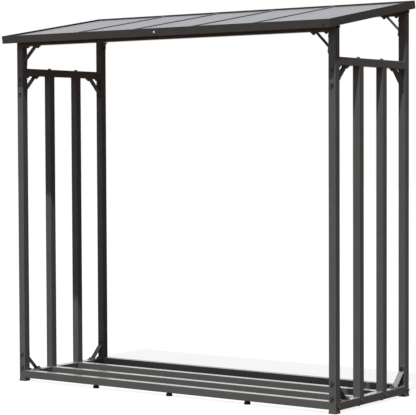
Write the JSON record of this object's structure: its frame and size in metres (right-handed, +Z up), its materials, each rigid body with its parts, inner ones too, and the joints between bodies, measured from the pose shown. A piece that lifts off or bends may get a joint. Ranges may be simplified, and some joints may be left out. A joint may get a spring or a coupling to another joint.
{
  "type": "log store",
  "caption": "Open steel log store: a bolted square-tube frame with slatted ends and a bar floor, under a single-slope sheet-metal roof, for stacking firewood.",
  "frame": {"origin": "on the ground, under the middle of the roof's plan", "axes": "+X along the store's length to the right as seen from the front, +Y from front to back, +Z up"},
  "size_m": [1.892, 0.7602, 1.8372],
  "materials": {
    "frame_steel": "satin anthracite powder coat",
    "roof_sheet": "satin anthracite coated sheet",
    "roof_trim": "satin anthracite coated sheet",
    "foot_plastic": "matt dark grey",
    "bolt_steel": "black-coated steel, semi-gloss"
  },
  "bodies": {
    "root": {"back_left_post": "frame_steel", "back_left_top_bracket": "frame_steel", "back_right_post": "frame_steel", "back_right_top_bracket": "frame_steel", "back_top_beam": "frame_steel", "back_trim_left": "roof_trim", "back_trim_right": "roof_trim", "beam_feet": "foot_plastic", "floor_bar_front": "frame_steel", "floor_bar_rear": "frame_steel", "front_bottom_beam": "frame_steel", "front_left_post": "frame_steel", "front_left_top_bracket": "frame_steel", "front_right_post": "frame_steel", "front_right_top_bracket": "frame_steel", "front_top_beam": "frame_steel", "front_trim_left": "roof_trim", "front_trim_right": "roof_trim", "left_bottom_rail": "frame_steel", "left_front_lower_bracket": "frame_steel", "left_front_slat": "frame_steel", "left_front_upper_bracket": "frame_steel", "left_rear_lower_bracket": "frame_steel", "left_rear_slat": "frame_steel", "left_rear_upper_bracket": "frame_steel", "left_side_trim": "roof_trim", "left_upper_rail": "frame_steel", "post_feet": "foot_plastic", "rear_bottom_beam": "frame_steel", "right_bottom_rail": "frame_steel", "right_front_lower_bracket": "frame_steel", "right_front_slat": "frame_steel", "right_front_upper_bracket": "frame_steel", "right_rear_lower_bracket": "frame_steel", "right_rear_slat": "frame_steel", "right_rear_upper_bracket": "frame_steel", "right_side_trim": "roof_trim", "right_upper_rail": "frame_steel", "roof_joint_strips": "roof_sheet", "roof_panel_left": "roof_sheet", "roof_panel_mid_left": "roof_sheet", "roof_panel_mid_right": "roof_sheet", "roof_panel_middle": "roof_sheet", "roof_panel_right": "roof_sheet"}
  },
  "joints": []
}
